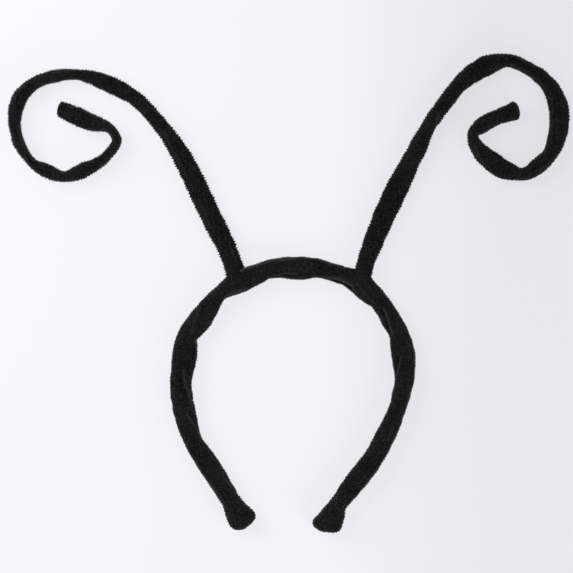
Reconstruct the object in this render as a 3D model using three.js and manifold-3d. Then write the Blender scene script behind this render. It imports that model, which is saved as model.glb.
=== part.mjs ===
// Antenna headband: a plush-covered hoop with two curled antennae, lying on its back.
// Millimetres. X runs across the hoop, Y from its end tips to the antennae, Z up from the surface below.
import * as THREE from 'three';
import { mergeVertices } from 'three/addons/utils/BufferGeometryUtils.js';
import Module from 'manifold-3d';

// Sleeves
const HOOP_ROUND = 10.8; // across the hoop's sleeve where it is neither pinched nor spread
const ANTENNA_ROUND = 8.8; // the same for an antenna
const SLACK = 0.6; // share of a pinched or spread width that the depth takes up
const PRESSED = 0.08; // share of the depth that lies flat on the surface below
const SEAT_GAP = 0.3; // between pieces
const RING_STEP = 3.1; // longest distance between two sections
const HOOP_SIDES = 20;
const ANTENNA_SIDES = 12;
const BLUNT = 2.6; // length of the rounded end of an antenna
const BLUNT_RINGS = 3;
const FOLD_REACH = 1.8; // half the width of a fold's ridge

// Colour read off the photo
const PLUSH_BLACK = 0x17171a;
const PLUSH_ROUGHNESS = 0.95;

// Hoop, from the left end tip over the crown to the right end tip: the middle of the sleeve and its width
const HOOP_SECTIONS = [
  { x: -29.7, y: -111.2, wide: 9.6 },
  { x: -36.9, y: -99.6, wide: 10.5 },
  { x: -43.6, y: -88.9, wide: 11.0 },
  { x: -50.7, y: -78.2, wide: 9.5 },
  { x: -54.7, y: -65.5, wide: 11.3 },
  { x: -57.1, y: -53.7, wide: 11.4 },
  { x: -57.2, y: -44.0, wide: 11.4 },
  { x: -55.6, y: -33.5, wide: 13.0 },
  { x: -55.2, y: -28.4, wide: 12.5 },
  { x: -54.1, y: -22.2, wide: 10.6 },
  { x: -48.2, y: -14.9, wide: 12.1 },
  { x: -42.4, y: -6.9, wide: 10.5 },
  { x: -38.8, y: -1.7, wide: 8.4 },
  { x: -35.4, y: 1.3, wide: 8.1 },
  { x: -28.4, y: 5.7, wide: 11.9 },
  { x: -22.7, y: 8.2, wide: 11.7 },
  { x: -16.8, y: 10.6, wide: 10.4 },
  { x: -11.0, y: 13.2, wide: 9.7 },
  { x: 4.0, y: 13.7, wide: 12.0 },
  { x: 14.5, y: 13.6, wide: 10.3 },
  { x: 26.8, y: 10.4, wide: 9.3 },
  { x: 34.0, y: 7.4, wide: 11.0 },
  { x: 39.2, y: 3.6, wide: 12.1 },
  { x: 42.8, y: 0.4, wide: 11.6 },
  { x: 47.5, y: -3.8, wide: 9.8 },
  { x: 54.3, y: -14.7, wide: 10.4 },
  { x: 57.5, y: -20.1, wide: 10.2 },
  { x: 60.0, y: -31.0, wide: 12.5 },
  { x: 60.9, y: -42.0, wide: 10.7 },
  { x: 60.9, y: -46.0, wide: 9.9 },
  { x: 59.3, y: -51.5, wide: 9.6 },
  { x: 57.3, y: -60.0, wide: 8.8 },
  { x: 50.5, y: -75.1, wide: 10.1 },
  { x: 44.6, y: -86.3, wide: 10.2 },
  { x: 37.0, y: -96.5, wide: 11.0 },
  { x: 29.1, y: -106.5, wide: 9.4 },
  { x: 26.4, y: -110.1, wide: 8.5 },
];

// Folds across the front of the hoop: where the ridge starts and ends along the sleeve from the left end,
// how far round from its outer edge in degrees, and how high it stands
const HOOP_FOLDS = [
  { from: 5, to: 39, start: 68, end: 45, high: 0.6 },
  { from: 1, to: 18, start: 144, end: 133, high: 0.6 },
  { from: 38, to: 57, start: 144, end: 108, high: 1.0 },
  { from: 60, to: 80, start: 143, end: 105, high: 1.0 },
  { from: 82, to: 96, start: 163, end: 142, high: 0.4 },
  { from: 94, to: 112, start: 124, end: 66, high: 0.4 },
  { from: 138, to: 165, start: 37, end: 45, high: 0.8 },
  { from: 151, to: 170, start: 140, end: 131, high: 0.8 },
  { from: 177, to: 207, start: 145, end: 140, high: 1.0 },
  { from: 200, to: 217, start: 99, end: 116, high: 0.6 },
  { from: 220, to: 239, start: 102, end: 137, high: 0.8 },
  { from: 243, to: 262, start: 104, end: 152, high: 0.9 },
  { from: 279, to: 333, start: 33, end: 46, high: 0.6 },
];

// Antennae, from inside the hoop to the start of the blunt end: the same columns
const LEFT_ANTENNA_SECTIONS = [
  { x: -27.6, y: 7.2, wide: 10.6 },
  { x: -30.2, y: 16.7, wide: 9.7 },
  { x: -34.2, y: 26.5, wide: 10.2 },
  { x: -41.4, y: 40.7, wide: 10.8 },
  { x: -50.4, y: 59.9, wide: 10.7 },
  { x: -57.7, y: 74.0, wide: 9.8 },
  { x: -66.6, y: 87.2, wide: 7.8 },
  { x: -77.0, y: 99.3, wide: 7.4 },
  { x: -82.2, y: 103.9, wide: 7.5 },
  { x: -89.9, y: 108.4, wide: 8.6 },
  { x: -99.6, y: 112.8, wide: 8.0 },
  { x: -113.6, y: 116.2, wide: 5.1 },
  { x: -125.4, y: 114.9, wide: 6.2 },
  { x: -135.3, y: 111.2, wide: 6.2 },
  { x: -142.7, y: 103.8, wide: 7.8 },
  { x: -145.4, y: 93.6, wide: 6.7 },
  { x: -145.0, y: 86.4, wide: 5.8 },
  { x: -142.3, y: 78.2, wide: 5.4 },
  { x: -136.1, y: 69.5, wide: 4.6 },
  { x: -129.3, y: 65.5, wide: 7.1 },
  { x: -119.3, y: 62.1, wide: 5.6 },
  { x: -109.1, y: 65.4, wide: 7.6 },
  { x: -97.5, y: 72.1, wide: 5.0 },
  { x: -91.3, y: 81.4, wide: 4.8 },
  { x: -95.5, y: 87.9, wide: 4.9 },
  { x: -103.7, y: 90.4, wide: 8.6 },
  { x: -111.5, y: 93.7, wide: 9.2 },
  { x: -116.6, y: 95.9, wide: 8.9 },
  { x: -120.3, y: 97.4, wide: 8.1 },
];
const RIGHT_ANTENNA_SECTIONS = [
  { x: 37.7, y: 6.6, wide: 9.4 },
  { x: 40.5, y: 17.0, wide: 9.2 },
  { x: 44.2, y: 26.9, wide: 10.3 },
  { x: 50.3, y: 41.6, wide: 11.3 },
  { x: 57.1, y: 56.0, wide: 11.7 },
  { x: 64.2, y: 70.2, wide: 9.8 },
  { x: 68.8, y: 79.1, wide: 9.2 },
  { x: 73.7, y: 89.1, wide: 7.4 },
  { x: 83.0, y: 102.1, wide: 8.1 },
  { x: 87.7, y: 108.3, wide: 7.8 },
  { x: 93.4, y: 114.1, wide: 9.2 },
  { x: 102.2, y: 119.9, wide: 10.4 },
  { x: 107.2, y: 122.0, wide: 9.8 },
  { x: 114.9, y: 123.6, wide: 6.8 },
  { x: 122.4, y: 121.4, wide: 6.3 },
  { x: 131.5, y: 116.0, wide: 7.2 },
  { x: 135.7, y: 112.4, wide: 7.5 },
  { x: 138.8, y: 108.3, wide: 8.8 },
  { x: 142.8, y: 97.3, wide: 10.3 },
  { x: 141.6, y: 82.7, wide: 9.5 },
  { x: 137.2, y: 73.1, wide: 7.7 },
  { x: 131.4, y: 67.6, wide: 8.5 },
  { x: 127.2, y: 64.6, wide: 7.2 },
  { x: 122.4, y: 63.4, wide: 6.5 },
  { x: 114.2, y: 65.7, wide: 9.8 },
  { x: 105.3, y: 71.6, wide: 10.0 },
  { x: 98.0, y: 79.6, wide: 6.6 },
  { x: 97.2, y: 85.3, wide: 5.5 },
  { x: 100.4, y: 88.2, wide: 7.8 },
  { x: 103.9, y: 90.6, wide: 8.2 },
  { x: 111.0, y: 94.0, wide: 7.9 },
  { x: 119.2, y: 96.9, wide: 9.6 },
];

// End tips, from the end of the hoop outwards: the middle's shift to the left, the width and the depth
const LEFT_TIP_ROWS = [
  { along: 3.0, shift: -0.5, wide: 11.6, deep: 11.2 },
  { along: 6.0, shift: -0.4, wide: 13.6, deep: 11.6 },
  { along: 8.3, shift: -0.2, wide: 14.5, deep: 12.0 },
  { along: 10.5, shift: 0.1, wide: 14.0, deep: 11.6 },
  { along: 12.2, shift: 0.1, wide: 12.0, deep: 10.6 },
  { along: 13.3, shift: -0.3, wide: 8.0, deep: 8.4 },
  { along: 14.2, shift: -1.2, wide: 4.4, deep: 6.0 },
];
const RIGHT_TIP_ROWS = [
  { along: 1.8, shift: 0.2, wide: 9.4, deep: 11.4 },
  { along: 3.5, shift: 0.8, wide: 10.5, deep: 11.6 },
  { along: 7.0, shift: 1.4, wide: 12.4, deep: 11.8 },
  { along: 11.0, shift: 2.0, wide: 14.0, deep: 12.0 },
  { along: 13.5, shift: 1.5, wide: 13.3, deep: 11.8 },
  { along: 16.0, shift: -0.1, wide: 10.3, deep: 10.4 },
  { along: 17.7, shift: -1.0, wide: 6.9, deep: 8.0 },
  { along: 18.8, shift: -1.4, wide: 3.2, deep: 4.5 },
];

/** How deep a sleeve is where it is this wide: one girth of cloth all along, so a pinch stands up. */
function depthOf(wide, round) {
  return round + SLACK * (round - wide);
}

/** Height of a section's middle when its pressed share lies on the surface below. */
function restingHeight(deep) {
  return deep * (0.5 - PRESSED);
}

/** Sections along a sleeve, with a ring at every row and others between them. */
function sleeveRings(rows, round) {
  const places = rows.map((row) => new THREE.Vector3(row.x, row.y, row.wide));
  const line = new THREE.CatmullRomCurve3(places, false, 'centripetal');
  const spans = rows.length - 1;
  const rings = [];
  let along = 0;
  for (let span = 0; span < spans; span += 1) {
    const length = Math.hypot(rows[span + 1].x - rows[span].x, rows[span + 1].y - rows[span].y);
    const count = Math.ceil(length / RING_STEP);
    const last = span === spans - 1 ? count : count - 1;
    for (let step = 0; step <= last; step += 1) {
      const t = (span + step / count) / spans;
      const place = line.getPoint(t);
      const way = line.getTangent(t);
      const deep = depthOf(place.z, round);
      const before = rings.at(-1) ?? place;
      along += Math.hypot(place.x - before.x, place.y - before.y);
      rings.push({
        along,
        x: place.x,
        y: place.y,
        heading: Math.atan2(way.y, way.x),
        wide: place.z,
        deep,
        middle: restingHeight(deep),
      });
    }
  }
  return rings;
}

/** A ring moved on from another along a heading and to the left of it. */
function movedRing(ring, heading, along, shift) {
  return {
    ...ring,
    x: ring.x + along * Math.cos(heading) - shift * Math.sin(heading),
    y: ring.y + along * Math.sin(heading) + shift * Math.cos(heading),
    heading,
  };
}

/** Rings that round off the far end of a sleeve. */
function bluntRings(end) {
  const rings = [];
  for (let step = 1; step <= BLUNT_RINGS; step += 1) {
    const turn = (step / (BLUNT_RINGS + 0.5)) * (Math.PI / 2);
    const ring = movedRing(end, end.heading, BLUNT * Math.sin(turn), 0);
    ring.wide *= Math.cos(turn);
    ring.deep *= Math.cos(turn);
    rings.push(ring);
  }
  return rings;
}

/** Rings of an end tip: first the end of the hoop again across the seat gap, then the rows. */
function tipRings(end, heading, rows) {
  const rings = [movedRing(end, heading, SEAT_GAP, 0)];
  let middle = end.middle;
  for (const row of rows) {
    middle = Math.max(middle, restingHeight(row.deep));
    const ring = movedRing(end, heading, SEAT_GAP + row.along, row.shift);
    rings.push({ ...ring, wide: row.wide, deep: row.deep, middle });
  }
  return rings;
}

/** How far the folds lift a sleeve's skin at this distance along it and this turn round it. */
function foldHeight(folds, ring, turn) {
  const radius = (ring.wide + ring.deep) / 4;
  let height = 0;
  for (const fold of folds) {
    const share = (ring.along - fold.from) / (fold.to - fold.from);
    if (share > 0 && share < 1) {
      const crest = THREE.MathUtils.degToRad(fold.start + share * (fold.end - fold.start));
      const away = ((turn - crest) * radius) / FOLD_REACH;
      height += fold.high * Math.sqrt(Math.sin(Math.PI * share)) * Math.exp(-away * away);
    }
  }
  return height;
}

/** One section: an ellipse standing across the sleeve, pressed flat where it meets the surface below. */
function ringPoints(ring, sides, folds) {
  const points = [];
  for (let side = 0; side < sides; side += 1) {
    const turn = (2 * Math.PI * side) / sides;
    const lift = foldHeight(folds, ring, turn);
    const across = (ring.wide / 2 + lift) * Math.cos(turn);
    const height = Math.max(0, ring.middle + (ring.deep / 2 + lift) * Math.sin(turn));
    points.push([ring.x - across * Math.sin(ring.heading), ring.y + across * Math.cos(ring.heading), height]);
  }
  return points;
}

/** A closed skin over rings, with a fan across each end. */
function loft(rings, sides, folds) {
  const points = rings.flatMap((ring) => ringPoints(ring, sides, folds));
  const faces = [];
  for (let ring = 0; ring < rings.length - 1; ring += 1) {
    for (let side = 0; side < sides; side += 1) {
      const next = (side + 1) % sides;
      const a = ring * sides + side;
      const b = ring * sides + next;
      faces.push(a, b, a + sides, b, b + sides, a + sides);
    }
  }
  for (const [ring, outward] of [[0, false], [rings.length - 1, true]]) {
    const first = ring * sides;
    const rim = points.slice(first, first + sides);
    const hub = points.length;
    points.push([0, 1, 2].map((axis) => rim.reduce((sum, point) => sum + point[axis], 0) / sides));
    for (let side = 0; side < sides; side += 1) {
      const next = first + ((side + 1) % sides);
      faces.push(...(outward ? [hub, first + side, next] : [hub, next, first + side]));
    }
  }
  const geometry = new THREE.BufferGeometry();
  geometry.setAttribute('position', new THREE.Float32BufferAttribute(points.flat(), 3));
  geometry.setIndex(faces);
  return geometry;
}

const wasm = await Module();
wasm.setup();

function toSolid(geometry) {
  const merged = mergeVertices(geometry);
  return new wasm.Manifold(new wasm.Mesh({
    numProp: 3,
    vertProperties: Float32Array.from(merged.attributes.position.array),
    triVerts: Uint32Array.from(merged.index.array),
  }));
}

function toGeometry(solid) {
  const mesh = solid.getMesh();
  const geometry = new THREE.BufferGeometry();
  geometry.setAttribute('position', new THREE.Float32BufferAttribute(mesh.vertProperties, 3));
  geometry.setIndex(Array.from(mesh.triVerts));
  return geometry;
}

/** An antenna whose root is cut to sit on the hoop with the seat gap all round. */
function antenna(rows, hoopRings) {
  const rings = sleeveRings(rows, ANTENNA_ROUND);
  rings.push(...bluntRings(rings.at(-1)));
  const seat = hoopRings.map((ring) => ({
    ...ring,
    wide: ring.wide + 2 * SEAT_GAP,
    deep: ring.deep + 2 * SEAT_GAP,
  }));
  const whole = toSolid(loft(rings, ANTENNA_SIDES, [])).subtract(toSolid(loft(seat, HOOP_SIDES, HOOP_FOLDS)));
  const pieces = whole.decompose().sort((one, other) => other.volume() - one.volume());
  return toGeometry(pieces[0]);
}

function piece(name, geometry) {
  const material = new THREE.MeshStandardMaterial({
    name: 'black_plush',
    color: PLUSH_BLACK,
    roughness: PLUSH_ROUGHNESS,
    metalness: 0,
  });
  const mesh = new THREE.Mesh(geometry, material);
  mesh.name = name;
  return mesh;
}

const hoopRings = sleeveRings(HOOP_SECTIONS, HOOP_ROUND);
const leftEnd = hoopRings[0];
const rightEnd = hoopRings.at(-1);
const leftTip = tipRings(leftEnd, leftEnd.heading + Math.PI, LEFT_TIP_ROWS);
const rightTip = tipRings(rightEnd, rightEnd.heading, RIGHT_TIP_ROWS);

const headband = new THREE.Group();
headband.name = 'antenna_headband';
headband.add(piece('hoop_sleeve', loft(hoopRings, HOOP_SIDES, HOOP_FOLDS)));
headband.add(piece('antenna_left', antenna(LEFT_ANTENNA_SECTIONS, hoopRings)));
headband.add(piece('antenna_right', antenna(RIGHT_ANTENNA_SECTIONS, hoopRings)));
headband.add(piece('end_tip_left', loft(leftTip, HOOP_SIDES, [])));
headband.add(piece('end_tip_right', loft(rightTip, HOOP_SIDES, [])));

export default headband;
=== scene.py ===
import math

import bmesh
import bpy
import numpy as np
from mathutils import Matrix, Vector


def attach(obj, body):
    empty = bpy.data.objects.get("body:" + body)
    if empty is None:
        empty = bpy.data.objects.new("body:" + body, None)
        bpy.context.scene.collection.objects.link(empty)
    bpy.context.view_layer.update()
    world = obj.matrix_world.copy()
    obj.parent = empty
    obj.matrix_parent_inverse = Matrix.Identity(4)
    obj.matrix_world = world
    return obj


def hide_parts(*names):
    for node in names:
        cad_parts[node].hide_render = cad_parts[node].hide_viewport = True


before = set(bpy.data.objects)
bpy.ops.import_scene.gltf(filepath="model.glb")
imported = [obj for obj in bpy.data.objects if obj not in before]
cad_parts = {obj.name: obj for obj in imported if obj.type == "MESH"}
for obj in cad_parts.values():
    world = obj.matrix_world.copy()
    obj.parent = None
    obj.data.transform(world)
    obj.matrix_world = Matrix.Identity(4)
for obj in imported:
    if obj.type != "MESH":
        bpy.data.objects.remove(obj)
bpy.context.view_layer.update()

MM = 0.001  # sleeves are worked out in mm and made in metres

# How the plush tube is made up, in mm
HOOP_ROUND = 10.8        # the hoop sleeve's width and depth where it is round
ANTENNA_ROUND = 8.8
SLACK = 0.6              # mm that a sleeve gets deeper for each mm that it is pressed narrower
PRESSED = 0.08           # share of its depth that a sleeve is flattened by the floor
SKIN_LIFT = 0.02         # how far the woven backing stands over the measured outline
SKIN_FLOOR = 0.02        # height of its lowest points over the floor
LINE_STEP = 0.4          # between points on a sleeve's middle line
BLUNT = 2.6              # rounding of an antenna's free end
END_STEPS = 8            # points along that rounding
LEFT_ASLANT = -1.3       # shift of that end's tip to the left, as it is cut aslant
RIGHT_ASLANT = 0.7
ASLANT_BEND = 1.5        # power by which that shift grows towards the tip
TUCKED_END = 1.2         # closing of an end that sits inside another piece
TIP_OVERLAP = 2.8        # how far a knob reaches into the hoop's sleeve
TIP_CAPS = (0.8, 0.6)    # closing of its two ends
ROOT_SWELL = 2.0         # how much deeper an antenna is where it joins the hoop
SWELL_REACH = 9.0        # and how far along that swelling runs out
FOLD_FADE = 3.0          # length over which a fold runs out
TUCK_AWAY = 1.6          # from a fold's crest to its tuck, in half widths of its ridge
TUCK_WIDE = 0.9          # half width of the tuck, in the same
CREST_HIGHLIGHT = 0.9         # painted highlight of a crest 1 mm high, where a tuck 1 mm deep has -1
SLACK_WAVES = 8          # waves in a sleeve's loose cloth
SLACK_HEIGHT = 0.07      # height of each
SLACK_PITCH = (0.25, 1.0)  # least and greatest pitch along, radians to a mm
SLACK_ROUNDS = (1, 5)    # fewest round the sleeve, and one above the most
SLACK_BEAT = 0.11        # share of its pitch at which a wave comes and goes
ROW_PITCH = 1.5          # between the rows of pile
HOOP_ROWS = 0.18         # half the height of a row over its valleys, at the hoop's sides
LEFT_ROWS = 0.36         # and at the two antennae's
RIGHT_ROWS = 0.28
ROW_RISE = 1.3           # how far a crest stands over the outline, in those half heights
ROW_UNEVEN = 0.25        # share by which the rows' heights go up and down
UNEVEN_PITCH = 0.47      # and how fast along the sleeve, radians to a mm
DRAWN_FLAT = 0.6         # share of their height that a tight bend takes away
TIGHT_BEND = 9.0         # and the bend radius that does so
RING_STEP = 0.3          # between the backing's rings of faces
SEAM_REACH = 1e-7        # m within which points of the rolled cloth's two edges are one
# Wavering of the rows of pile: by how many rows, radians to a mm along, waves round
ROW_WAVERS = ((0.2, 0.31, 1), (0.15, 0.9, -2), (0.1, 2.3, 0))

# Middle line of the hoop, from the left end over the crown: x, y, wide
HOOP_SECTIONS = (
    (-29.7, -111.2, 9.6), (-36.9, -99.6, 10.5), (-43.6, -88.9, 11), (-50.7, -78.2, 9.5),
    (-54.7, -65.5, 11.3), (-57.1, -53.7, 11.4), (-57.2, -44, 11.4), (-55.6, -33.5, 13),
    (-54.9, -28.4, 12.5), (-54.1, -22.2, 10.6), (-48.2, -14.9, 12.1), (-42.4, -6.9, 10.5),
    (-38.8, -1.7, 8.4), (-35.4, 1.3, 8.1), (-28.4, 5.7, 11.9), (-22.7, 8.2, 11.7),
    (-16.8, 10.6, 10.4), (-11, 13.2, 9.7), (4, 13.7, 12), (9.3, 13.8, 11.5),
    (14.5, 13.5, 9.9), (26.8, 10.4, 9.3), (34, 7.4, 11), (39.2, 3.6, 12.1),
    (42.8, 0.4, 11.6), (47.5, -3.8, 9.8), (54.3, -14.7, 10.4), (57.5, -20.1, 10.2),
    (60, -31, 12.5), (60.9, -42, 10.7), (60.9, -46, 9.9), (59.3, -51.5, 9.6),
    (57.3, -60, 8.8), (50.5, -75.1, 10.1), (44.6, -86.3, 10.2), (37, -96.5, 11),
    (29.1, -106.5, 9.4), (26.4, -110.1, 8.5),
)
# Middle lines of the antennae, from the root to the free end: x, y, wide
LEFT_ANTENNA_SECTIONS = (
    (-27.6, 7.2, 10.6), (-30.2, 16.7, 9.7), (-34.2, 26.5, 10.2), (-41.4, 40.7, 10.8),
    (-50.4, 59.9, 10.7), (-57.7, 74, 9.8), (-66.6, 87.2, 7.8), (-77, 99.3, 7.4),
    (-82.2, 103.9, 7.5), (-89.9, 108.4, 8.6), (-99.6, 112.8, 8), (-113.6, 116.2, 5.1),
    (-125.4, 114.9, 6.2), (-135.3, 111.2, 6.2), (-142.7, 103.8, 7.8), (-145.4, 93.6, 6.7),
    (-145, 86.4, 5.8), (-142.3, 78.2, 5.4), (-136.1, 69.5, 4.6), (-129.3, 65.5, 7.1),
    (-119.3, 62.1, 5.6), (-109.1, 65.4, 7.6), (-97.5, 72.1, 5), (-91.3, 81.4, 4.8),
    (-95.5, 87.9, 4.9), (-103.7, 90.4, 8.6), (-111.5, 93.7, 9.2), (-116.6, 95.9, 8.9),
    (-120.3, 97.4, 8.1),
)
RIGHT_ANTENNA_SECTIONS = (
    (37.7, 6.6, 9.4), (40.5, 17, 9.2), (44.2, 26.9, 10.3), (50.3, 41.6, 11.3),
    (57.1, 56, 11.7), (64.2, 70.2, 9.8), (68.8, 79.1, 9.2), (73.7, 89.1, 7.4),
    (83, 102.1, 8.1), (87.7, 108.3, 7.8), (93.4, 114.1, 9.2), (102.2, 119.9, 10.4),
    (107.2, 122, 9.8), (114.9, 123.6, 6.8), (122.4, 121.4, 6.3), (131.5, 116, 7.2),
    (135.7, 112.4, 7.5), (138.8, 108.3, 8.8), (142.8, 97.3, 10.3), (141.6, 82.7, 9.5),
    (137.2, 73.1, 7.7), (131.4, 67.6, 8.5), (127.2, 64.6, 7.2), (122.4, 63.4, 6.5),
    (114.2, 65.7, 9.8), (105.3, 71.6, 10), (98, 79.6, 6.6), (97.2, 85.3, 5.5),
    (100.4, 88.2, 7.8), (103.9, 90.6, 8.2), (111, 94, 7.9), (119.2, 96.9, 9.6),
)
# Bunched ends of the hoop: distance past the sleeve, shift to the left, wide, deep
LEFT_TIP_ROWS = (
    (3, -0.5, 11.6, 11.2), (6, -0.4, 13.6, 11.6), (8.3, -0.2, 14.5, 12), (10.5, 0.1, 14, 11.6),
    (12.2, 0.1, 12, 10.6), (13.3, -0.3, 8, 8.4), (14.2, -1.2, 4.4, 6),
)
RIGHT_TIP_ROWS = (
    (1.8, 0.2, 9.4, 11.4), (3.5, 0.8, 10.5, 11.6), (7, 1.4, 12.4, 11.8), (11, 2, 14, 12),
    (13.5, 1.5, 13.3, 11.8), (16, -0.1, 10.3, 10.4), (17.7, -1, 6.9, 8), (18.8, -1.4, 3.2, 4.5),
)
# Folds: the crest's way as (mm from the start, degrees from the left edge over the front), its
# height, the depth of the tuck beside it, on the right where above zero, else the left, and the
# half width of its ridge. One without a height is a tuck or a hollow alone
# A crest gets a painted highlight, a tuck painted shade; a row without height only paints shade
HOOP_FOLDS = (
    (((5, 50), (13, 46), (21, 38), (36, 40)), 0.7, 0.2, 1.2),
    (((4, 144), (9, 137), (15, 133)), 0.6, 0.4, 0.8),
    (((41, 144), (44, 141), (47, 130), (50, 120), (54, 106)), 1.0, 0.7, 0.6),
    (((61, 134), (66, 131), (70, 116), (74, 109), (78, 100)), 0.6, -0.2, 1.0),
    (((85, 148), (89, 149), (93, 147)), 0.6, -0.4, 0.9),
    (((100, 100), (106, 71), (111, 55), (115, 40)), 0.3, 0.2, 1.3),
    (((126, 136), (130, 131), (134, 131), (138, 137)), 0.7, 0.2, 1.0),
    (((140, 41), (146, 39), (152, 44), (158, 42), (164, 39), (170, 38)), 1.0, 0.2, 1.3),
    (((173, 36), (178, 35), (183, 35)), 0.5, 0.2, 1.1),
    (((154, 139), (158, 132), (161, 122), (165, 118), (168, 122)), 0.6, 0.7, 0.7),
    (((182, 140), (187, 130), (191, 121), (195, 118), (199, 119), (203, 132)), 1.0, 0.3, 0.9),
    (((184, 146), (188, 138), (192, 130), (199, 130), (203, 142)), 0.0, 0.7, 0.9),
    (((203, 99), (209, 109), (214, 116)), 0.4, -0.3, 0.8),
    (((207, 70), (211, 80), (214, 84)), 0.3, -0.4, 0.8),
    (((223, 97), (228, 106), (232, 120), (235, 132)), 0.8, 0.8, 0.9),
    (((250, 106), (254, 120), (257, 130), (260, 143)), 0.8, 0.9, 0.8),
    (((284, 34), (298, 34), (309, 37), (320, 38), (332, 35)), 0.8, 0.2, 1.2),
)
LEFT_ANTENNA_FOLDS = (
    (((9, 115), (15, 114), (20, 116)), 0.3, -0.3, 0.8),
    (((32, 63), (39, 69), (46, 73)), 0.2, 0.2, 0.8),
    (((60, 66), (70, 64), (79, 66), (87, 81)), 0.2, 0.2, 1.0),
    (((171, 99), (176, 107), (182, 107)), 0.3, -0.5, 0.8),
    (((196, 45), (202, 47), (207, 47)), 0.4, 0.3, 0.8),
    (((214, 105), (219, 127), (224, 131)), 0.4, -0.3, 0.8),
    (((255, 44), (261, 50), (266, 51)), 0.3, 0.3, 0.8),
    (((280, 51), (284, 43), (288, 48)), 0.4, 0.3, 0.8),
    (((288, 133), (295, 134), (302, 126)), 0.3, -0.3, 0.8),
)
RIGHT_ANTENNA_FOLDS = (
    (((91, 140), (93, 125), (95, 112), (98, 95)), 0.5, -0.2, 1.0),
    (((126, 25), (150, 22), (182, 28)), 0.0, 0.2, 3.0),
    (((134, 25), (152, 22), (173, 28)), 0.0, 0.2, 3.0),
    (((144, 72), (146, 101), (148, 131)), 0.3, 0.4, 0.8),
    (((151, 67), (159, 79), (166, 80)), 0.2, 0.1, 0.8),
    (((178, 70), (185, 74), (191, 80)), 0.2, 0.3, 0.8),
    (((177, 122), (186, 136), (195, 140), (204, 141)), 0.2, -0.1, 0.8),
    (((212, 60), (218, 66), (223, 72)), 0.2, 0.3, 0.8),
    (((247, 45), (253, 51), (258, 70)), 0.3, 0.2, 0.8),
    (((272, 30), (278, 36), (286, 45)), 0.3, 0.2, 0.8),
)


def smooth_line(rows):
    """Points along a smooth line through the rows, a centripetal Catmull-Rom spline."""
    rows = np.array(rows, float)
    padded = np.vstack([2 * rows[0] - rows[1], rows, 2 * rows[-1] - rows[-2]])
    runs = []
    for a, b, c, d in zip(padded, padded[1:], padded[2:], padded[3:]):
        ab, bc, cd = (math.sqrt(np.linalg.norm(q - p)) for p, q in ((a, b), (b, c), (c, d)))
        leave = ((b - a) / ab - (c - a) / (ab + bc) + (c - b) / bc) * bc
        reach = ((c - b) / bc - (d - b) / (bc + cd) + (d - c) / cd) * bc
        count = math.ceil(np.linalg.norm(c - b) / LINE_STEP)
        t = np.linspace(0, 1, count, endpoint=False)[:, None]
        runs.append(
            (2 * t**3 - 3 * t**2 + 1) * b + (t**3 - 2 * t**2 + t) * leave
            + (3 * t**2 - 2 * t**3) * c + (t**3 - t**2) * reach
        )
    return np.vstack([*runs, rows[-1:]])


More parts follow.
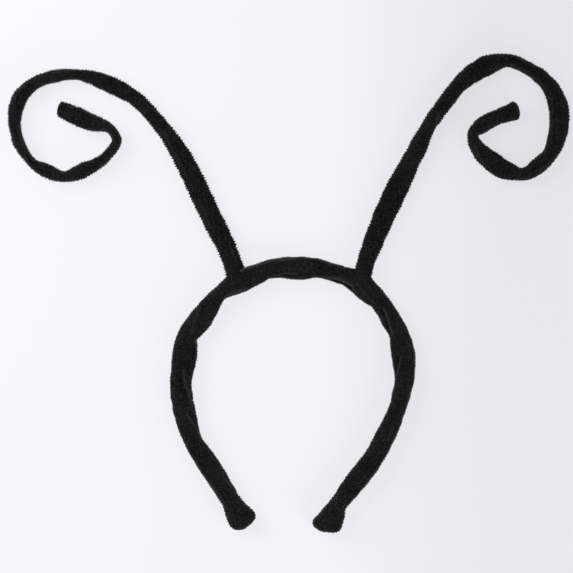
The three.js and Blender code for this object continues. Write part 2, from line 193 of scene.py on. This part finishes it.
class Sleeve:
    """A plush tube lying on the floor: a middle line with a width and depth at each point."""

    def __init__(self, x, y, wide, deep, heading, caps, row_depth, folds=(), seed=0):
        self.along = np.concatenate([[0], np.cumsum(np.hypot(np.diff(x), np.diff(y)))])
        self.length = self.along[-1]
        self.x, self.y, self.wide, self.deep, self.heading = x, y, wide, deep, heading
        self.bend = np.gradient(heading, self.along)
        self.caps, self.row_depth, self.folds = caps, row_depth, folds
        draw = np.random.default_rng(seed)
        self.waves = [
            (draw.uniform(*SLACK_PITCH), draw.integers(*SLACK_ROUNDS), *draw.uniform(0, 2 * math.pi, 2))
            for _ in range(SLACK_WAVES)
        ]

    def closing(self, along):
        """How far the tube is closed to a point at its two ends, 1 being open."""
        out = np.ones_like(along)
        for cap, left in zip(self.caps, (along, self.length - along)):
            out *= np.sqrt(np.clip(1 - (1 - np.clip(left / cap, 0, 1)) ** 2, 0, 1))
        return out

    def folding(self, along, turn):
        """Height of the folds over the plain tube, in mm, and their painted light: 1 on a crest, shade in
        a tuck.
        """
        wide = np.interp(along, self.along, self.wide)
        height, tone = np.zeros_like(along), np.zeros_like(along)
        for way, high, tuck, reach in self.folds:
            at, ridge = smooth_line(way).T
            fade = np.clip((np.minimum(along - at[0], at[-1] - along) + FOLD_FADE) / FOLD_FADE, 0, 1)
            fade = fade**2 * (3 - 2 * fade)
            away = turn - np.radians(np.interp(along, at, ridge))
            away = ((away + np.pi) % (2 * np.pi) - np.pi) * wide / 2 / reach
            crest = fade * np.exp(-away**2)
            dip = fade * np.exp(-(((away - math.copysign(TUCK_AWAY, tuck)) / TUCK_WIDE) ** 2))
            height += high * crest - abs(tuck) * dip
            # painted light: a crest is painted lighter and a tuck painted darker
            tone += CREST_HIGHLIGHT * min(high, 1) * crest**2 - min(abs(tuck), 1) * dip**2
        return height, np.clip(tone, -1, 1)

    def relief(self, along, turn):
        """Height of folds and slack over the plain tube, in mm."""
        out = self.folding(along, turn)[0]
        for pitch, rounds, phase, beat in self.waves:
            wave = np.sin(pitch * along + rounds * turn + phase)
            out += SLACK_HEIGHT * wave * np.cos(SLACK_BEAT * along * pitch + beat)
        return out

    def row_at(self, along, turn):
        """Which row of pile a place lies in, whole numbers on its crest. The rows waver."""
        waver = sum(by * np.sin(pitch * along + rounds * turn) for by, pitch, rounds in ROW_WAVERS)
        return along / ROW_PITCH + waver

    def loose(self, along):
        """How far the rows of pile stand apart, 1 where the sleeve runs straight."""
        bend = np.abs(np.interp(along, self.along, self.bend)) * TIGHT_BEND
        return 1 - DRAWN_FLAT * np.clip(bend, 0, 1)

    def rows(self, along, turn):
        """Height of the rows of pile, in mm, brushed flat in front and in tight bends."""
        uneven = 1 - ROW_UNEVEN + ROW_UNEVEN * np.sin(UNEVEN_PITCH * along + 2 * turn)
        ridge = ROW_RISE - 2 * np.abs(np.sin(np.pi * self.row_at(along, turn)))
        return self.row_depth * self.loose(along) * uneven * np.cos(turn) ** 2 * ridge

    def skin(self, along, turn):
        """Points of the backing at these places along and round the tube, in metres."""
        x, y, wide, deep, heading = (
            np.interp(along, self.along, v)
            for v in (self.x, self.y, self.wide, self.deep, self.heading)
        )
        closed = self.closing(along)
        lift = (self.relief(along, turn) + self.rows(along, turn) + SKIN_LIFT) * closed
        across = (wide / 2 * closed + lift) * np.cos(turn)
        up = (deep / 2 * closed + lift) * np.sin(turn)
        high = np.maximum(deep * (0.5 - PRESSED) + up, SKIN_FLOOR)
        return np.stack(
            [x - np.sin(heading) * across, y + np.cos(heading) * across, high], 1
        ) * MM

    def core(self, along):
        """Points on the middle line, in metres."""
        x, y, deep = (np.interp(along, self.along, v) for v in (self.x, self.y, self.deep))
        return np.stack([x, y, deep * (0.5 - PRESSED)], 1) * MM


def laid_sleeve(rows, roundness, caps, row_depth, folds, seed, blunt=0.0, aslant=0.0, swell=0.0):
    """A sleeve through the rows (x, y, wide), deeper by swell at its root, longer by blunt at its end."""
    line = smooth_line(rows)
    heading = np.unwrap(np.arctan2(np.gradient(line[:, 1]), np.gradient(line[:, 0])))
    if blunt:
        steps = np.linspace(0, 1, END_STEPS + 1)[1:, None]
        ahead = np.array([math.cos(heading[-1]), math.sin(heading[-1]), 0])
        left = np.array([-ahead[1], ahead[0], 0])
        end = line[-1] + steps * blunt * ahead + steps**ASLANT_BEND * aslant * left
        line = np.vstack([line, end])
        heading = np.append(heading, np.full(len(steps), heading[-1]))
    x, y, wide = line.T
    deep = roundness + SLACK * (roundness - wide)
    deep += swell * np.exp(-((np.hypot(x - x[0], y - y[0]) / SWELL_REACH) ** 2))
    return Sleeve(x, y, wide, deep, heading, caps, row_depth, folds, seed)


def bunched_tip(sleeve, at_start, rows, seed):
    """The knob past one end of the hoop sleeve."""
    end = 0 if at_start else -1
    heading = sleeve.heading[end] + (math.pi if at_start else 0)
    first = (-TIP_OVERLAP, 0, sleeve.wide[end], sleeve.deep[end])
    along, shift, wide, deep = smooth_line((first, *rows)).T
    x = sleeve.x[end] + along * math.cos(heading) - shift * math.sin(heading)
    y = sleeve.y[end] + along * math.sin(heading) + shift * math.cos(heading)
    return Sleeve(x, y, wide, deep, np.full(len(x), heading), TIP_CAPS, HOOP_ROWS, seed=seed)


def rolled_skin(name, sleeve, sides):
    """A flat grid of cloth rolled into the sleeve, with its long edges joined."""
    bm = bmesh.new()
    bm.loops.layers.uv.new("OFBake")
    rings = math.ceil(sleeve.length / RING_STEP)
    bmesh.ops.create_grid(bm, x_segments=rings, y_segments=sides, size=0.5, calc_uvs=True)
    flat = np.array([v.co for v in bm.verts]) + 0.5
    along, turn = flat[:, 0] * sleeve.length, flat[:, 1] * 2 * math.pi
    # each point keeps its fold's painted highlight or painted shade
    fold_light_and_shade = bm.verts.layers.float.new("fold_light_and_shade")
    for vert, place, tone in zip(bm.verts, sleeve.skin(along, turn), sleeve.folding(along, turn)[1]):
        vert.co = place
        vert[fold_light_and_shade] = tone
    bmesh.ops.remove_doubles(bm, verts=bm.verts, dist=SEAM_REACH)
    bmesh.ops.recalc_face_normals(bm, faces=bm.faces)
    for face in bm.faces:
        face.smooth = True
    return finished(name, bm)


def shown(name, data):
    """The object that shows a mesh, a camera or a light."""
    item = bpy.data.objects.new(name, data)
    bpy.context.collection.objects.link(item)
    return item


def finished(name, bm):
    """The object of a bmesh that is done with."""
    mesh = bpy.data.meshes.new(name)
    bm.to_mesh(mesh)
    bm.free()
    return shown(name, mesh)


# Pile of the plush, in mm
TUFT_HAIRS = 4           # hairs to a tuft
TUFT_SPREAD = 0.45       # of a tuft's roots about its middle
TUFT_CLOSING = 0.3       # share by which its tips draw together
HAIR_LENGTH = 0.33
ROW_GATHERS = 2.2        # share of the way that hairs move to their row's crest, for its height
TUFT_VARIES = 0.25       # share by which the tufts' lengths differ
HAIR_VARIES = 0.15       # and the hairs' in a tuft
NAP_LEAN = 0.12          # lean of the brushed patches
TUFT_STRAY = 0.25        # lean of a tuft about its patch's
HAIR_THICK = 0.14        # half width of a hair at its root
HAIR_SUNK = 0.15         # how far its root sits under the backing
PILE_FLOOR = 0.05        # height of the lowest hairs over the floor
HAIR_TURN = 0.25         # how far the light on a hair turns from that on its tuft
EVEN_SPREAD = (0.7548776662, 0.5698402910)  # steps that fill a square evenly
TUFT_JITTER = 0.004      # how far tufts stray from those steps, in shares of the square
LEAST_GIRTH = 0.1        # least share of its girth that a closing end is given pile for
NEARBY = 0.05            # between places that give the backing's slope, mm along or radians round
TINY = 1e-12             # keeps a length or a side from being nothing
PILE_SEED = 40
# Waves of the lean ahead, and of that to the side: pitch and waves round of one, then of another
NAP_WAVES = ((0.9, 2, 1.6, 3), (0.7, 3, 1.3, 2))
# A hair's spot in the bake, corner by corner: shares of the sleeve's length and girth
HAIR_SPOT = ((0, 0), (0.0006, 0), (0, 0.004))


def unit(v):
    """Rows of v, each made one long."""
    return v / (np.linalg.norm(v, axis=1, keepdims=True) + TINY)


def frame_on(sleeve, along, turn):
    """Places on a sleeve's backing, in metres, with the ways ahead, aside and out of it there."""
    root = sleeve.skin(along, turn)
    ahead = unit(
        sleeve.skin(np.minimum(along + NEARBY, sleeve.length), turn)
        - sleeve.skin(np.maximum(along - NEARBY, 0), turn)
    )
    aside = unit(sleeve.skin(along, turn + NEARBY) - sleeve.skin(along, turn - NEARBY))
    facing = unit(np.cross(ahead, aside))
    facing *= np.sign((facing * (root - sleeve.core(along))).sum(1, keepdims=True) + TINY)
    return root, ahead, np.cross(facing, ahead), facing


def spiked_mesh(name, feet, tips):
    """One mesh of closed spikes with three corners at the foot."""
    places = np.stack([*feet, tips], 1).reshape(-1, 3)
    places[:, 2] = np.maximum(places[:, 2], PILE_FLOOR * MM)
    corners = np.array([(0, 2, 1), (0, 1, 3), (1, 2, 3), (2, 0, 3)])
    faces = (np.arange(len(tips))[:, None, None] * 4 + corners).reshape(-1, 3)
    mesh = bpy.data.meshes.new(name)
    mesh.from_pydata(places, [], faces, shade_flat=False)
    return mesh


def pile_of(name, sleeve, start, tufts, seed):
    """Short pile all over a sleeve in small tufts, each hair a closed spike, as one mesh."""
    draw = np.random.default_rng(seed)
    hairs = tufts * TUFT_HAIRS

    def each_hair(values):
        return np.repeat(values, TUFT_HAIRS, axis=0)

    around = (sleeve.wide + sleeve.deep) * np.maximum(sleeve.closing(sleeve.along), LEAST_GIRTH)
    area = np.cumsum(np.where(sleeve.along < start, 0, around * np.gradient(sleeve.along)))
    spread = np.arange(tufts)[:, None] * EVEN_SPREAD + draw.normal(0, TUFT_JITTER, (tufts, 2))
    share, turn = (spread % 1).T
    middle = np.interp(share * area[-1], area, sleeve.along)
    turn = 2 * math.pi * turn
    forward, sideways = (
        NAP_LEAN * (np.sin(a * middle + b * turn + seed) + np.sin(c * middle - d * turn + seed)) / 2
        + draw.normal(0, TUFT_STRAY, tufts)
        for a, b, c, d in NAP_WAVES
    )
    grown = 1 + draw.uniform(-TUFT_VARIES, TUFT_VARIES, tufts)
    radius = np.interp(middle, sleeve.along, (sleeve.wide + sleeve.deep) / 4)

    # Hairs stand about their tuft's middle, drawn towards the crest of their row
    off_along, off_round = draw.normal(0, TUFT_SPREAD, (2, hairs))
    along = each_hair(middle) + off_along
    turn = each_hair(turn) + off_round / each_hair(radius)
    row = sleeve.row_at(along, turn)
    gather = ROW_GATHERS * sleeve.row_depth * sleeve.loose(along) * np.abs(np.cos(turn))
    along = np.clip(along - gather * ROW_PITCH * (row - np.round(row)), 0, sleeve.length)

    root, ahead, side, facing = frame_on(sleeve, along, turn)
    lean = each_hair(forward)[:, None] * ahead + each_hair(sideways)[:, None] * side
    length = HAIR_LENGTH * each_hair(grown) * (1 + draw.uniform(-HAIR_VARIES, HAIR_VARIES, hairs))
    closing = off_along[:, None] * ahead + off_round[:, None] * side
    tips = root + MM * (length[:, None] * unit(facing + lean) - TUFT_CLOSING * closing)
    spin = draw.uniform(0, 2 * math.pi, (hairs, 1))
    feet = [
        root - HAIR_SUNK * MM * facing
        + HAIR_THICK * MM * (np.cos(spin + k) * ahead + np.sin(spin + k) * side)
        for k in (0, 2 * math.pi / 3, 4 * math.pi / 3)
    ]
    mesh = spiked_mesh(name, feet, tips)

    lit = unit(facing + lean + draw.normal(0, HAIR_TURN, (hairs, 3)))
    mesh.normals_split_custom_set_from_vertices(np.repeat(lit, 4, axis=0))
    spots = np.repeat(np.stack([along / sleeve.length, turn / (2 * math.pi) % 1], 1), 12, axis=0)
    spots += np.tile(HAIR_SPOT, (hairs * 4, 1))
    mesh.uv_layers.new(name="OFBake").data.foreach_set("uv", spots.ravel())
    shine = draw.uniform(-0.5, 0.5, hairs)
    # the hairs keep the fold's painted highlight or painted shade, and their own random shine
    for shade, values in (("fold_light_and_shade", sleeve.folding(along, turn)[1]), ("tuft", shine)):
        mesh.attributes.new(shade, "FLOAT", "POINT").data.foreach_set("value", np.repeat(values, 4))
    return shown(name, mesh)


# Looks of the backing and the pile: greys from dark to light with the nap, the painted highlight
# on a fold's crest and the painted shade in its tuck, then how they shine and what their nap is
# mixed from
BACKING = dict(
    dark=0.005, light=0.018, crest=0.045, tuck=0.002,
    roughness=0.9, gloss=0.0, sheen=0.12, grain_share=0.75, tuft_share=0.0,
)
PILE = dict(
    dark=0.003, light=0.095, crest=0.13, tuck=0.004,
    roughness=0.8, gloss=0.05, sheen=0.1, grain_share=0.75, tuft_share=0.8,
)
HOOP_PAINTED_LIGHT = 1.1          # painted light, times the nap's greys; lighter than the antennae
ANTENNA_PAINTED_SHADE = 0.97
NAP_SPAN = (0.44, 0.56)  # shades between which the nap's grey runs from dark to light
PATCH_SCALE = 90.0       # of the brushed patches, to a metre
GRAIN_SCALE = 1500.0     # and of the grain between tufts
SHEEN_ROUGHNESS = 0.4
SHEEN_TINT = (0.95, 0.96, 1.0, 1)


# A mix node takes its share at socket 0, and mixes numbers at 2 and 3 or colours at 6 and 7

def nap_group():
    """Shade of brushed pile: slow patches, fine grain and each hair's own shine."""
    group = bpy.data.node_groups.new("brushed_nap", "ShaderNodeTree")
    face = group.interface
    for name, value in (
        ("Patch Scale", PATCH_SCALE), ("Grain Scale", GRAIN_SCALE), ("Grain Share", 0.5),
        ("Tuft Share", 0.0),
    ):
        face.new_socket(name, in_out="INPUT", socket_type="NodeSocketFloat").default_value = value
    face.new_socket("Shade", in_out="OUTPUT", socket_type="NodeSocketFloat")
    nodes, links = group.nodes, group.links
    given, put = nodes.new("NodeGroupInput"), nodes.new("NodeGroupOutput")
    place = nodes.new("ShaderNodeTexCoord")
    patch, grain = nodes.new("ShaderNodeTexNoise"), nodes.new("ShaderNodeTexNoise")
    patch.inputs["Detail"].default_value = 2.0
    grain.inputs["Detail"].default_value = 1.0
    mix = nodes.new("ShaderNodeMix")
    for node, scale in ((patch, "Patch Scale"), (grain, "Grain Scale")):
        links.new(place.outputs["Object"], node.inputs["Vector"])
        links.new(given.outputs[scale], node.inputs["Scale"])
    links.new(given.outputs["Grain Share"], mix.inputs[0])
    links.new(patch.outputs["Fac"], mix.inputs[2])
    links.new(grain.outputs["Fac"], mix.inputs[3])
    tuft = nodes.new("ShaderNodeAttribute")
    tuft.attribute_name = "tuft"
    added = nodes.new("ShaderNodeMath")
    added.operation = "MULTIPLY_ADD"
    links.new(tuft.outputs["Fac"], added.inputs[0])
    links.new(given.outputs["Tuft Share"], added.inputs[1])
    links.new(mix.outputs[0], added.inputs[2])
    links.new(added.outputs[0], put.inputs["Shade"])
    return group


def fold_group():
    """Paints a highlight on the pile of a fold's crest, and paints shade on the pile in its tuck."""
    group = bpy.data.node_groups.new("fold_painted_light_and_shade", "ShaderNodeTree")
    face = group.interface
    for name in ("Color", "Crest Highlight Color", "Tuck Shade Color"):
        face.new_socket(name, in_out="INPUT", socket_type="NodeSocketColor")
    face.new_socket("Color", in_out="OUTPUT", socket_type="NodeSocketColor")
    nodes, links = group.nodes, group.links
    given, put = nodes.new("NodeGroupInput"), nodes.new("NodeGroupOutput")
    fold = nodes.new("ShaderNodeAttribute")
    fold.attribute_name = "fold_light_and_shade"
    colour = given.outputs["Color"]
    for side, name in ((1.0, "Crest Highlight Color"), (-1.0, "Tuck Shade Color")):
        share = nodes.new("ShaderNodeMapRange")
        share.inputs["From Max"].default_value = side
        mix = nodes.new("ShaderNodeMix")
        mix.data_type = "RGBA"
        links.new(fold.outputs["Fac"], share.inputs["Value"])
        links.new(share.outputs["Result"], mix.inputs[0])
        links.new(colour, mix.inputs[6])
        links.new(given.outputs[name], mix.inputs[7])
        colour = mix.outputs[2]
    links.new(colour, put.inputs["Color"])
    return group


def plush(name, tone, dark, light, crest, tuck, roughness, gloss, sheen, grain_share, tuft_share):
    """Black plush greyed dark to light by its nap, with painted crest highlights and tuck shade."""
    material = bpy.data.materials.new(name)
    material.use_nodes = True
    nodes, links = material.node_tree.nodes, material.node_tree.links
    shader = nodes["Principled BSDF"]
    brushed = nodes.new("ShaderNodeGroup")
    brushed.node_tree = NAP
    brushed.inputs["Grain Share"].default_value = grain_share
    brushed.inputs["Tuft Share"].default_value = tuft_share
    ramp = nodes.new("ShaderNodeValToRGB")
    for stop, place, grey in zip(ramp.color_ramp.elements, NAP_SPAN, (dark * tone, light * tone)):
        stop.position, stop.color = place, (grey, grey, grey, 1)
    folded = nodes.new("ShaderNodeGroup")
    folded.node_tree = FOLD
    # painted highlight on crests, painted shade in tucks
    folded.inputs["Crest Highlight Color"].default_value = (crest, crest, crest, 1)
    folded.inputs["Tuck Shade Color"].default_value = (tuck, tuck, tuck, 1)
    links.new(brushed.outputs["Shade"], ramp.inputs["Fac"])
    links.new(ramp.outputs["Color"], folded.inputs["Color"])
    links.new(folded.outputs["Color"], shader.inputs["Base Color"])
    shader.inputs["Roughness"].default_value = roughness
    shader.inputs["Specular IOR Level"].default_value = gloss
    shader.inputs["Sheen Weight"].default_value = sheen
    shader.inputs["Sheen Roughness"].default_value = SHEEN_ROUGHNESS
    shader.inputs["Sheen Tint"].default_value = SHEEN_TINT
    return material


def plush_cut(name, tone):
    """Backing and pile of one cut of the plush, painted lighter where its tone is above 1."""
    return plush(f"{name}_backing", tone, **BACKING), plush(f"{name}_pile", tone, **PILE)


# Camera, floor and light

PHOTO_PX = 573           # across the square photo
PX = 0.53                # mm to a pixel of it
ORIGIN_PX = (289.5, 294.0)
CAMERA_HEIGHT = 792.5    # mm
LENS = 93.6
SENSOR = 36.0
FLOOR_HALF = 4.0         # half the floor's width, m
FLOOR_GREY = (0.18, 0.18, 0.19, 1)
FLOOR_GLOW = 0.83
FLOOR_SPAN = 0.15        # m to each side over which the floor's painted falloff of light runs
FLOOR_SHADES = ((0, 1.0), (0.5, 0.97), (0.9, 0.85))  # share of the way across, grey
FLOOR_TINT = (0.95, 0.95, 1.0)
WINDOW_SIZE = 0.6        # m
WINDOWS = (("window_left", (-0.5, 0.3, 0.45), 3.3), ("window_right", (0.6, -0.55, 0.35), 3.6))
DOME_SHADES = ((0.15, 1.0), (0.85, 0.07))  # height, grey
DOME_TINT = (0.96, 0.97, 1.0)
DOME_STRENGTH = 0.85


def tinted(tint, grey):
    """A grey with a tint, as a colour."""
    return (*(part * grey for part in tint), 1)


def set_camera():
    """Looks straight down at the part, with its origin where the photo has it."""
    data = bpy.data.cameras.new("studio_camera")
    data.sensor_width = SENSOR
    data.lens = LENS
    camera = shown("studio_camera", data)
    middle = PHOTO_PX / 2
    to_right, up = (middle - ORIGIN_PX[0]) * PX, (ORIGIN_PX[1] - middle) * PX
    camera.location = (to_right * MM, up * MM, CAMERA_HEIGHT * MM)
    bpy.context.scene.camera = camera


def lay_floor():
    """Glowing pale paper under the part, a little darker to the right: painted falloff of light."""
    bm = bmesh.new()
    bmesh.ops.create_grid(bm, x_segments=1, y_segments=1, size=FLOOR_HALF)
    floor = finished("studio_floor", bm)
    paper = bpy.data.materials.new("white_paper")
    paper.use_nodes = True
    nodes, links = paper.node_tree.nodes, paper.node_tree.links
    shader = nodes["Principled BSDF"]
    shader.inputs["Base Color"].default_value = FLOOR_GREY
    place, apart = nodes.new("ShaderNodeTexCoord"), nodes.new("ShaderNodeSeparateXYZ")
    across = nodes.new("ShaderNodeMapRange")
    across.inputs["From Min"].default_value = -FLOOR_SPAN
    across.inputs["From Max"].default_value = FLOOR_SPAN
    shade = nodes.new("ShaderNodeValToRGB")
    shade.color_ramp.interpolation = "EASE"
    shade.color_ramp.elements.new(0.5)
    for stop, (at, grey) in zip(shade.color_ramp.elements, FLOOR_SHADES):
        stop.position, stop.color = at, tinted(FLOOR_TINT, grey)
    links.new(place.outputs["Object"], apart.inputs["Vector"])
    links.new(apart.outputs["X"], across.inputs["Value"])
    links.new(across.outputs["Result"], shade.inputs["Fac"])
    # the glow carries the painted falloff of light, darker to the right
    links.new(shade.outputs["Color"], shader.inputs["Emission Color"])
    shader.inputs["Emission Strength"].default_value = FLOOR_GLOW
    shader.inputs["Roughness"].default_value = 0.9
    shader.inputs["Specular IOR Level"].default_value = 0.1
    floor.data.materials.append(paper)


def hang_window(name, place, power):
    """A round soft light that looks at the part."""
    data = bpy.data.lights.new(name, "AREA")
    data.shape, data.size, data.energy = "DISK", WINDOW_SIZE, power
    light = shown(name, data)
    light.location = place
    light.rotation_euler = (-Vector(place)).to_track_quat("-Z", "Y").to_euler()


def light_studio():
    """A dome that is bright low down, and two windows."""
    scene = bpy.context.scene
    world = scene.world or bpy.data.worlds.new("studio")
    scene.world = world
    world.use_nodes = True
    nodes, links = world.node_tree.nodes, world.node_tree.links
    back = nodes.get("Background") or nodes.new("ShaderNodeBackground")
    toward, apart = nodes.new("ShaderNodeTexCoord"), nodes.new("ShaderNodeSeparateXYZ")
    dome = nodes.new("ShaderNodeValToRGB")
    for stop, (height, grey) in zip(dome.color_ramp.elements, DOME_SHADES):
        stop.position, stop.color = height, tinted(DOME_TINT, grey)
    links.new(toward.outputs["Generated"], apart.inputs["Vector"])
    links.new(apart.outputs["Z"], dome.inputs["Fac"])
    links.new(dome.outputs["Color"], back.inputs["Color"])
    back.inputs["Strength"].default_value = DOME_STRENGTH
    for window in WINDOWS:
        hang_window(*window)
    scene.view_settings.view_transform = "Standard"
    scene.view_settings.look = "None"


set_camera()
lay_floor()
light_studio()

NAP = nap_group()
FOLD = fold_group()
hoop_blacks = plush_cut("hoop", HOOP_PAINTED_LIGHT)
antenna_blacks = plush_cut("antenna", ANTENNA_PAINTED_SHADE)

hoop = laid_sleeve(
    HOOP_SECTIONS, HOOP_ROUND, (TUCKED_END, TUCKED_END), HOOP_ROWS, HOOP_FOLDS, seed=3
)
left_antenna = laid_sleeve(
    LEFT_ANTENNA_SECTIONS, ANTENNA_ROUND, (TUCKED_END, BLUNT), LEFT_ROWS, LEFT_ANTENNA_FOLDS,
    seed=5, blunt=BLUNT, aslant=LEFT_ASLANT, swell=ROOT_SWELL,
)
right_antenna = laid_sleeve(
    RIGHT_ANTENNA_SECTIONS, ANTENNA_ROUND, (TUCKED_END, BLUNT), RIGHT_ROWS, RIGHT_ANTENNA_FOLDS,
    seed=8, blunt=BLUNT, aslant=RIGHT_ASLANT, swell=ROOT_SWELL,
)
left_tip = bunched_tip(hoop, True, LEFT_TIP_ROWS, seed=11)
right_tip = bunched_tip(hoop, False, RIGHT_TIP_ROWS, seed=12)

# Node, its sleeve and cut, faces round it, where its pile starts, mm, its tufts, how full it is
DRESSED = (
    ("hoop_sleeve", hoop, hoop_blacks, 56, 0.0, 12400, 0.7),
    ("antenna_left", left_antenna, antenna_blacks, 40, 1.5, 12400, 0.75),
    ("antenna_right", right_antenna, antenna_blacks, 40, 1.5, 12400, 0.75),
    ("end_tip_left", left_tip, hoop_blacks, 56, 0.0, 1600, 0.8),
    ("end_tip_right", right_tip, hoop_blacks, 56, 0.0, 1600, 0.8),
)
for order, (node, sleeve, blacks, sides, start, tufts, fill) in enumerate(DRESSED):
    skin = rolled_skin(f"{node}_plush", sleeve, sides)
    skin.data.materials.append(blacks[0])
    pile = pile_of(f"{node}_pile", sleeve, start, tufts, PILE_SEED + order)
    pile.data.materials.append(blacks[1])
    for piece in (skin, pile):
        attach(piece, "root")
        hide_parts(node)
